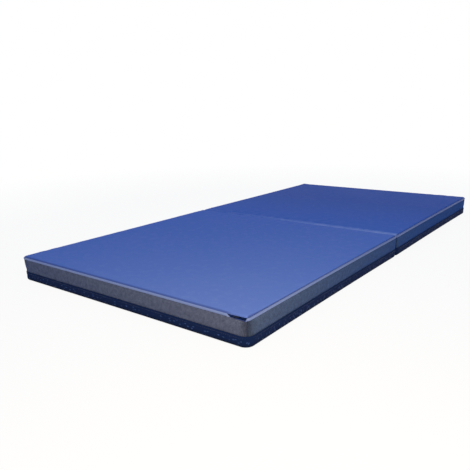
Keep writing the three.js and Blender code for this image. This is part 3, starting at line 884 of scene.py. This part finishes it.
def buildCover(material):
    points, faces, flat, ring = coverHalf()
    points, faces, flat = withDip(points, faces, flat, ring)
    near = ontoMat(points, "near")
    farFlat = (0, 2 * flat[-1, 1]) - flat  # turned about the middle of the slit
    farFaces = [tuple(i + len(near) for i in face) for face in faces]
    allPoints = np.vstack([near, turned(near, "far")])
    cover = newPiece("top_cover", allPoints, faces + farFaces, material, np.vstack([flat, farFlat]))
    joinAlongFold(cover)
    settleCloth(cover, 7)
    refine(cover)
    thicken(cover, topCover["thickness"])
    applyModifiers(cover)
    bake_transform(cover)
    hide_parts("near_top_sheet", "far_top_sheet", "fold_hinge_strip")
    print("top cover", len(cover.data.polygons), "faces")


# Side bands: mesh strips from under the piping to behind the base's rim, turned in where two are sewn
# together at a corner
sideBand = {
    "swell": 2.4,  # mm the filled side stands out at its middle
    "foldSwell": 1.2,
    "swellPower": 0.8,
    "swellAtEnds": 0.45,  # share of it near the corners
    "drift": 0.25,  # share by which it comes and goes along the side
    "driftLengths": (190, 71),
    "rows": 12,
    "lap": (12, 1),  # mm below the base's hem
    "thickness": 1.2,
    "top": 70.2,
    "mouthDrop": 3.4,
    "cornerIn": (0, 0.8, 1.6, 2.3, 2.8),  # mm inward at a corner, from the last station to the seam's inside
    "cornerShort": (4, 2.4, 1, 0.2, 0),  # mm short of the corner's middle there
    "cornerRoom": 0.95,  # share of a station's step that it may take
    "pucker": 0.4,
    "puckerLength": 26,
    "puckerWander": (2.2, 97),
    "puckerReach": (11, 7),  # mm down from the piping and up from the base
    "puckerAtBase": 0.5,
    "head": (1.7, 5),  # mm inward where the band's top turns under the piping
    "headRise": 0.25,
    "zipHead": 0.8,  # share of that turn which it lacks along the zip
    "mouthHead": 0.45,  # share that it has more in the mouth, where it covers the foam
    "easeLength": 30,
}


def bandLevels(rows, side, seed):
    run, fold = rows["run"], rows["fold"]
    top = sideBand["top"] - sideBand["mouthDrop"] * rows["mouth"]
    top = top * (1 - fold) + (mat["foldEdge"] - mat["fit"]) * fold
    swell = sideBand["foldSwell"] if side == "fold" else sideBand["swell"]
    onSide = smooth(np.minimum(run, run[-1] - run) / sideBand["easeLength"])
    phase = np.random.default_rng(seed).uniform(0, 2 * math.pi, 3)
    long, short = sideBand["driftLengths"]
    drift = np.sin(run / long + phase[0]) * np.sin(run / short + phase[1])
    swell = swell * (1 + sideBand["drift"] * (drift - 1))
    swell = swell * (sideBand["swellAtEnds"] + (1 - sideBand["swellAtEnds"]) * onSide)
    wander, wanderLength = sideBand["puckerWander"]
    wander = wander * np.sin(run / wanderLength + phase[2])
    ripple = np.sin(2 * math.pi * run / sideBand["puckerLength"] + wander)
    pucker = sideBand["pucker"] * (ripple + rows["zip"]) / (1 + rows["zip"]) * onSide
    above, below = sideBand["puckerReach"]
    hemTop = mat["hemTop"]
    wall = bandTop - hemTop
    levels = [moved(rows, mat["bandInset"], hemTop - lap) for lap in sideBand["lap"]]
    for share in np.linspace(0, 1, sideBand["rows"] + 1):
        near = np.exp(-(1 - share) * wall / above) + sideBand["puckerAtBase"] * np.exp(-share * wall / below)
        out = swell * math.sin(math.pi * share) ** sideBand["swellPower"] + pucker * near
        levels.append(moved(rows, mat["bandInset"] - out, hemTop + (top - hemTop) * share))
    for inward in sideBand["head"]:
        inward = inward * (1 - sideBand["zipHead"] * rows["zip"] * (1 - rows["mouth"]))
        inward = inward * (1 + sideBand["mouthHead"] * rows["mouth"])
        levels.append(moved(rows, mat["bandInset"] + inward, top + sideBand["headRise"]))
    return levels


# Both ends of each level are turned inward into the corner's seam
def turnedEnds(levels, rows):
    along = np.column_stack([rows["inward"][:, 1], -rows["inward"][:, 0]])
    shaped = []
    for level in levels:
        head, tail = [], []
        room = np.linalg.norm(level[1] - level[0]) * sideBand["cornerRoom"]
        for inward, short in zip(sideBand["cornerIn"], sideBand["cornerShort"]):
            step = min(short, room * short / sideBand["cornerShort"][0])
            first, last = level[0].copy(), level[-1].copy()
            first[:2] += rows["inward"][0] * inward + along[0] * step
            last[:2] += rows["inward"][-1] * inward - along[-1] * step
            head.insert(0, first)
            tail.append(last)
        shaped.append(np.vstack([head, level[1:-1], tail]))
    return shaped


def buildBand(panel, label, side, material, seed):
    rows = panelSides(2)[side]
    levels = turnedEnds(bandLevels(rows, side, seed), rows)
    along = runLengths(levels[len(levels) // 2][:, :2])
    up = np.zeros(len(along))
    flat = [np.column_stack([along, up])]
    for before, level in zip(levels, levels[1:]):
        up = up + np.linalg.norm(level - before, axis=1)
        flat.append(np.column_stack([along, up]))
    points, faces = ontoMat(np.vstack(levels), panel), stripFaces(len(levels), len(along))
    band = newPiece(f"{panel}_{label}_band_mesh", points, faces, material, np.vstack(flat))
    thicken(band, sideBand["thickness"])
    applyModifiers(band)
    declare(band, f"{panel}_panel", "side_band", f"{panel}_{label}_band")


# Piping: a cord in bias tape, sewn into the seam all round a panel but for its fold. In the zip's mouth it
# is tucked in behind the band.
piping = {
    "sides": 14,
    "centre": 72.9,
    "inset": 2.6,
    "halves": (2.4, 3.6),  # mm across and upright
    "mouthHalves": (1.6, 1.6),
    "mouthInset": 5.4,
    "mouthCentre": 64.2,
    "mouthPull": 1.5,  # how much sooner than the mouth opens it is out of sight
    "zipFlat": 0.8,  # share by which its back is flattened along the zip, where the slider passes
}


def buildPiping(panel, material):
    path = openRing(panelSides(2))
    mouth = smooth(path["mouth"] * piping["mouthPull"])
    run = runLengths(moved(path, 0, mat["seam"])[:, :2])
    plain = (*piping["halves"], piping["inset"], piping["centre"])
    tucked = (*piping["mouthHalves"], piping["mouthInset"], piping["mouthCentre"])
    across, upright, inset, centre = (a * (1 - mouth) + b * mouth for a, b in zip(plain, tucked))
    behind = across * (1 - piping["zipFlat"] * path["zip"] * (1 - mouth))
    loops, flat = [], []
    for angle in np.linspace(math.pi, 3 * math.pi, piping["sides"], endpoint=False):
        depth = across if math.cos(angle) > 0 else behind
        loops.append(moved(path, inset - depth * math.cos(angle), centre + upright * math.sin(angle)))
        flat.append(np.column_stack([run, np.full(len(run), angle * piping["halves"][1])]))
    loops = ontoMat(np.stack(loops, axis=1).reshape(-1, 3), panel).reshape(len(path), -1, 3)
    tube = barPiece(f"{panel}_piping", list(loops), material, np.stack(flat, axis=1).reshape(-1, 2))
    declare(tube, f"{panel}_panel", "welt", f"{panel}_top_welt")


# Levels of the outline round a rounded lower edge, from the underside up
def footLevels(ring, inset, floor, radius, rows):
    turns = [math.pi / 2 * k / rows for k in range(rows + 1)]
    return [
        moved(ring, inset + radius - radius * math.sin(turn), floor + radius - radius * math.cos(turn))
        for turn in turns
    ]


# Base: non-slip cloth under the panel, turned up round its edge and hemmed at the rim
basePan = {
    "edge": 8,  # mm, the radius it is turned up with
    "edgeRows": 6,
    "wallRows": 6,
    "thickness": 1.4,
    "hem": 0.6,
    "hemHeight": 8,
    "wave": 0.35,
    "waves": (30, 7),  # round the panel
}


def buildBase(panel, material, seed):
    sides = panelSides(2)
    ring = ringOf(sides)
    radius = basePan["edge"]
    levels = footLevels(ring, 0, 0, radius, basePan["edgeRows"])
    phase = np.random.default_rng(seed).uniform(0, 2 * math.pi, 2)
    around = runLengths(moved(ring, 0, mat["seam"])[:, :2])
    around = around * 2 * math.pi / (around[-1] + around[1])
    short, long = basePan["waves"]
    wave = basePan["wave"] * np.sin(short * around + 2 * np.sin(long * around + phase[0]) + phase[1])
    for k in range(1, basePan["wallRows"] + 1):
        share = k / basePan["wallRows"]
        height = radius + (mat["hemTop"] - radius) * share
        out = basePan["hem"] if height > mat["hemTop"] - basePan["hemHeight"] else 0
        levels.append(moved(ring, -out - wave * math.sin(math.pi * share), height))
    levels.append(moved(ring, basePan["hem"], mat["hemTop"] + mat["fit"]))
    inner, bottom = fillRing(sides, levels[0], 0, len(levels) * len(ring))
    points = np.vstack(levels + [np.column_stack([inner, np.zeros(len(inner))])])
    flat = np.vstack(flatRings(levels, ring) + [inner])
    faces = stripFaces(len(levels), len(ring), closed=True) + [face[::-1] for face in bottom]
    pan = newPiece(f"{panel}_base_cloth", ontoMat(points, panel), faces, material, flat)
    thicken(pan, basePan["thickness"])
    applyModifiers(pan)
    declare(pan, f"{panel}_panel", "base", f"{panel}_base_pan")


# Foam pad: a slab that fills the cover, with a rebate behind the zip
foamPad = {
    "floor": 1.8,
    "cornerRoom": 2.4,
    "footRound": 5,
    "footRows": 3,
    "wallRows": 4,
    "below": 2.2,  # mm under the cover's outside
    "swell": 1.3,
    "turns": (0, 0.35, 0.7, 1),
    "narrowing": 0.6,
}


def buildFoam(panel, material):
    sides = panelSides()
    ring = ringOf(sides)
    low, high = nearBox("near_zip_tape")
    rebateFoot = low[2] - mat["fit"]
    rebateDepth = high[1] + mat["length"] / 2 + mat["fit"]
    betweenCorners = np.abs(ring["spot"][:, 0]) < mat["width"] / 2 - mat["endCorner"]
    atZip = (ring["inward"][:, 1] > 0.999) & betweenCorners | (ring["low"] == mat["endCorner"])
    inset = mat["foamInset"] + foamPad["cornerRoom"] * (ring["low"] > 0)
    levels = footLevels(ring, inset, foamPad["floor"], foamPad["footRound"], foamPad["footRows"])
    for share in np.linspace(0, 1, foamPad["wallRows"] + 1)[:-1]:
        out = foamPad["swell"] * math.sin(math.pi * share) * (ring["low"] == 0)
        levels.append(moved(ring, inset - out, mat["panRim"] + (rebateFoot - mat["panRim"]) * share))
    stepIn = np.where(atZip, rebateDepth, inset)
    levels.append(moved(ring, inset, rebateFoot))
    levels.append(moved(ring, stepIn, rebateFoot + mat["fit"]))
    below = foamPad["below"]
    for turn in foamPad["turns"]:
        reach, height = shoulderPoint(ring, turn)
        reach = reach + below * (1 - turn * foamPad["narrowing"])
        level = moved(ring, np.maximum(reach, stepIn + mat["fit"] * turn), height - below)
        level[:, 2] -= foldSag(level) * turn
        levels.append(level)
    nextIndex = len(levels) * len(ring)
    inner, bottom = fillRing(sides, levels[0], 0, nextIndex)
    crown, top = fillRing(sides, levels[-1], nextIndex - len(ring), nextIndex + len(inner))
    height = mat["shoulder"] - below + crownRise(crown) - foldSag(crown)
    flatBottom = np.column_stack([inner, np.full(len(inner), foamPad["floor"])])
    points = np.vstack(levels + [flatBottom, np.column_stack([crown, height])])
    flat = np.vstack(flatRings(levels, ring) + [inner, crown])
    faces = stripFaces(len(levels), len(ring), closed=True) + [face[::-1] for face in bottom] + top
    pad = newPiece(f"{panel}_foam_pad", ontoMat(points, panel), faces, material, flat)
    declare(pad, f"{panel}_panel", "foam", f"{panel}_foam_core")


# Zip: a woven tape with a coil of interlocked turns, stops, a slider and a webbing pull tab. Its pieces are
# shaped on the near panel and turned round for the far one.
zipParts = {
    "tapeStep": 14,
    "tapeEnd": 447,  # mm from the middle, so that the tape's ends are sewn into the corners
    "tapeBead": (1, 0.25),  # mm from the coil and proud, the woven cord beside it
    "tapeEdge": (0.4, 0.1),  # mm over which its edges are rounded, and how far
    "tapeSway": (0.05, 23),
    "turn": 2.4,  # mm between the coil's turns; about 1.3 on the real one, drawn coarser to show
    "turnSteps": 4,
    "turnRise": 0.28,
    "coilSides": 12,
    "tabSteps": 16,
    "tabThickness": 0.8,
    "tabPinch": (0.12, 3),
    "tabCorner": (0.35, 2),  # share of its half width that its ends lack, and mm from the end
    "eye": (1.2, 5.8),  # mm from the slider's tail, either side of its lug
    "eyeRows": (-1, -0.64, -0.2, 0.2, 0.64, 1),
}


def nearBox(node):
    low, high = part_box(node)
    return np.array(low) / mm, np.array(high) / mm


def buildTape(panel, material):
    low, high = nearBox("near_zip_tape")
    coilLow, coilHigh = nearBox("near_zip_coil")
    end, foot, top = zipParts["tapeEnd"], low[2], high[2]
    bead, proud = zipParts["tapeBead"]
    edge, rounded = zipParts["tapeEdge"]
    sway, swayLength = zipParts["tapeSway"]
    face = [
        (foot, rounded), (foot + edge, 0), (coilLow[2] - bead, proud), (coilLow[2], 0),
        (coilHigh[2], 0), (coilHigh[2] + bead, proud), (top - edge, 0), (top, rounded),
    ]
    heights = [height for height, depth in face]
    xs = np.linspace(-end, end, int(2 * end / zipParts["tapeStep"]))
    loops = []
    for x in xs:
        front = low[1] + sway * math.sin(x / swayLength)
        loop = [(x, front + depth, height) for height, depth in face]
        loops.append(turned(loop + [(x, high[1], height) for height in heights[::-1]], panel))
    flat = np.array([(x, height) for x in xs for height in heights + heights[::-1]])
    tape = barPiece(f"{panel}_zip_tape_woven", loops, material, flat)
    declare(tape, f"{panel}_panel", "zip_cloth", f"{panel}_zip_tape")


def buildCoil(panel, material):
    low, high = nearBox("near_zip_coil")
    centre, half = (low + high) / 2, (high - low) / 2
    pitch = zipParts["turn"]
    loops = []
    for x in np.arange(low[0], high[0], pitch / zipParts["turnSteps"]):
        loop = []
        for angle in np.linspace(0, 2 * math.pi, zipParts["coilSides"], endpoint=False):
            phase = 2 * math.pi * x / pitch + (math.pi if math.sin(angle) > 0 else 0)
            size = 1 - zipParts["turnRise"] * (0.5 - 0.5 * math.cos(phase))
            out, up = half[1] * math.cos(angle) * size, half[2] * math.sin(angle) * size
            loop.append((x, centre[1] + out, centre[2] + up))
        loops.append(turned(loop, panel))
    coil = barPiece(f"{panel}_zip_coil_turns", loops, material)
    declare(coil, f"{panel}_panel", "zip_coil", f"{panel}_zip_coil")


# The tab is a strip of webbing with an eye for the slider's lug
def buildTab(panel, material):
    low, high = nearBox("near_zip_pull_tab")
    tail = nearBox("near_zip_slider")[0][0]
    eyeLeft, eyeRight = (tail + place for place in zipParts["eye"])
    middleZ, halfZ = (low[2] + high[2]) / 2, (high[2] - low[2]) / 2
    beforeEye = np.linspace(low[0], eyeLeft, zipParts["tabSteps"])
    columns = [*beforeEye, (eyeLeft + eyeRight) / 2, eyeRight, high[0]]
    cut, cutLength = zipParts["tabCorner"]
    pinch, pinchLength = zipParts["tabPinch"]
    points, flat = [], []
    for x in columns:
        narrow = 1 - cut * max(0, 1 - min(x - low[0], high[0] - x) / cutLength) ** 2
        depth = low[1] + pinch * math.sin(x / pinchLength) ** 2
        for row in zipParts["eyeRows"]:
            points.append((x, depth, middleZ + row * halfZ * narrow))
            flat.append((x, row * halfZ))
    count = len(zipParts["eyeRows"])
    faces = [
        (k * count + i, (k + 1) * count + i, (k + 1) * count + i + 1, k * count + i + 1)
        for k in range(len(columns) - 1) for i in range(count - 1)
        if not (eyeLeft <= columns[k] < eyeRight and 1 <= i <= count - 3)
    ]
    tab = newPiece(f"{panel}_zip_pull_webbing", turned(points, panel), faces, material, np.array(flat))
    thicken(tab, zipParts["tabThickness"])
    applyModifiers(tab)
    declare(tab, f"{panel}_zip_pull", "zip_cloth", f"{panel}_zip_pull_tab")


def finishNode(node, material):
    piece = bpy.data.objects[node]
    piece.data.materials.clear()
    piece.data.materials.append(material)


# Stitches: short thread bars laid along a line of the outline
stitch = {
    "pitch": 6,
    "length": 4,
    "width": 0.9,
    "proud": 0.35,
    "hemFromRim": 5,
    "coverOut": 0.35,
    "sections": ((0, 0.3), (0.15, 0.9), (0.85, 0.9), (1, 0.3)),  # share of the length, and thickness there
}


def buildStitches(name, path, outward, material, panel, slot):
    corners = ((-1, 0), (0, 1), (1, 0), (0, -1))
    proud = stitch["proud"]
    bar = stripFaces(len(stitch["sections"]), len(corners), closed=True) + [(3, 2, 1, 0), (12, 13, 14, 15)]
    points, faces = [], []
    run = runLengths(path)
    for start in np.arange(stitch["pitch"] / 2, run[-1] - stitch["pitch"], stitch["pitch"]):
        first, last = (
            np.array([np.interp(place, run, path[:, axis]) for axis in range(3)])
            for place in (start, start + stitch["length"])
        )
        out = np.array([np.interp(start, run, outward[:, axis]) for axis in range(3)])
        side = np.cross(last - first, out)
        side = side / np.linalg.norm(side) * stitch["width"] / 2
        faces += [tuple(len(points) + i for i in face) for face in bar]
        for share, size in stitch["sections"]:
            centre = first * (1 - share) + last * share
            points += [centre + (side * across + out * proud * away) * size for across, away in corners]
    piece = newPiece(name, ontoMat(points, panel), faces, material)
    faceOutward(piece)
    declare(piece, f"{panel}_panel", slot)


def buildHemStitches(panel, material):
    ring = ringOf(panelSides(2))
    ring = np.concatenate([ring, ring[:1]])
    path = moved(ring, -basePan["hem"], mat["hemTop"] - stitch["hemFromRim"])
    outward = np.column_stack([-ring["inward"], np.zeros(len(ring))])
    buildStitches(f"{panel}_hem_stitches", path, outward, material, panel, "base")


def buildCoverStitches(panel, material):
    ring = openRing(panelSides(2))
    turn = topCover["stitchRow"] / topCover["shoulderRows"]
    inset, height = shoulderPoint(ring, turn)
    sink = topCover["stitchSink"]
    path = moved(ring, inset + sink - stitch["coverOut"], height - sink + stitch["coverOut"])
    path[:, 2] += flapRise(path) * turn
    slope = math.sin(turn * math.pi / 2)
    outward = np.column_stack([-ring["inward"] * math.sqrt(1 - slope**2), np.full(len(ring), slope)])
    buildStitches(f"{panel}_cover_stitches", path, outward, material, panel, "top_cover")


# Light: a plain white studio, with a soft lamp over the near corner
studio = {
    "ambient": 0.49,
    "ambientTint": "#cbe4ff",
    "floor": "#f0f0f0",
    "floorGlow": 0.92,  # share of the floor that the camera and reflections see as plain white
    "floorFades": (1.3, 2.8),  # m from the mat's middle, where it turns plain white like the backdrop
    "floorSpan": 12,  # m from the middle to its edge
    "floorDrop": 0.2,  # mm below the mat
    "key": {"place": (1.0, -1.5, 0.94), "aim": (0.3, -0.75, 0), "size": 0.7, "power": 16, "tint": "#ffe2b8"},
}


def addLamp(name, place, aim, size, power, tint):
    data = bpy.data.lights.new(name, "AREA")
    data.shape = "SQUARE"
    data.size = size
    data.energy = power
    data.color = linear(tint)[:3]
    lamp = bpy.data.objects.new(name, data)
    turn = (Vector(aim) - Vector(place)).to_track_quat("-Z", "Y").to_matrix().to_4x4()
    lamp.matrix_world = Matrix.Translation(place) @ turn
    bpy.context.scene.collection.objects.link(lamp)


# The rays that see the white background: the camera's, reflections and what glass lets through
def shownRays(add):
    rays = add("LightPath", (), None)
    shown = add("Math", (rays["Is Camera Ray"], rays["Is Glossy Ray"]), operation="MAXIMUM")
    return add("Math", (shown, rays["Is Transmission Ray"]), operation="MAXIMUM")


def floorSurface(add):
    paint = add("BsdfDiffuse", {"Color": studio["floor"]})
    white = add("Emission", {"Color": "#ffffff", "Strength": 1.0})
    away = add("VectorMath", (add("TexCoord", (), "Object"),), "Value", operation="LENGTH")
    glow = add("MapRange", (away, *studio["floorFades"], studio["floorGlow"], 1.0))
    share = add("Math", (shownRays(add), glow), operation="MULTIPLY")
    return add("MixShader", (share, paint, white))


def buildStudio():
    world = bpy.data.worlds.new("studio")
    bpy.context.scene.world = world
    world.use_nodes = True
    world.node_tree.nodes.clear()
    add = partial(addNode, world.node_tree)
    shown = shownRays(add)
    background = add("Background", {
        "Color": add("Mix", {0: shown, 6: studio["ambientTint"], 7: "#ffffff"}, 2, data_type="RGBA"),
        "Strength": add("MapRange", (shown, 0.0, 1.0, studio["ambient"], 1.0)),
    })
    add("OutputWorld", {"Surface": background}, None)

    span, height = studio["floorSpan"] / mm, -studio["floorDrop"]
    corners = [(x * span, y * span, height) for x, y in ((-1, -1), (1, -1), (1, 1), (-1, 1))]
    newPiece("studio_floor", corners, [(0, 1, 2, 3)], newMaterial("pale_floor", floorSurface))
    addLamp("keyLamp", **studio["key"])
    bpy.context.scene.view_settings.view_transform = "Standard"
    print("studio lit")


placeCamera()
buildStudio()
nylon = newMaterial("coatedNylon_calendered", nylonSurface)
tape = newMaterial("satinBiasTape_woven", tapeSurface)
endMesh = newMaterial("polyesterSpacerMesh_knitted", meshSurface, "endYarn", "opening")
# The side bands' mesh carries painted shade along the mat
sideMesh = newMaterial("polyesterSpacerMesh_sideShade", meshSurface, "sideYarn", "opening")
# A copy of the mesh painted darker, for the shade in the slit
slitShadeMesh = newMaterial("polyesterSpacerMesh_slitShade", meshSurface, "hiddenYarn", "hiddenOpening")
dotted = newMaterial("nonSlipPolyester_pvcDotted", baseSurface)
foam = newMaterial("polyurethaneFoam_sliced", patternedSurface, slicedFoam)
zipTape = newMaterial("polyesterTape_woven", patternedSurface, zipCloth)
coil = newMaterial("nylonCoil_extruded", patternedSurface, nylonCoil)
zinc = newMaterial("zinc_enamelled", patternedSurface, enamelledZinc)
navyThread = newMaterial("polyesterThread_navy", patternedSurface, navyTwist)
blueThread = newMaterial("polyesterThread_blue", patternedSurface, blueTwist)
seed = 1
for panel, right, left in (("near", "right", "left"), ("far", "left", "right")):
    buildFoam(panel, foam)
    bands = (("end", "end", endMesh), (right, "right", sideMesh), ("fold", "fold", slitShadeMesh),
             (left, "left", sideMesh))
    for label, side, mesh in bands:
        buildBand(panel, label, side, mesh, seed)
        seed += 1
    buildPiping(panel, tape)
    buildBase(panel, dotted, seed)
    buildTape(panel, zipTape)
    buildCoil(panel, coil)
    buildTab(panel, zipTape)
    buildHemStitches(panel, navyThread)
    buildCoverStitches(panel, blueThread)
    for node in ("slider", "left_stop", "right_stop"):
        finishNode(f"{panel}_zip_{node}", zinc)
    print(panel, "panel covered")
buildCover(nylon)
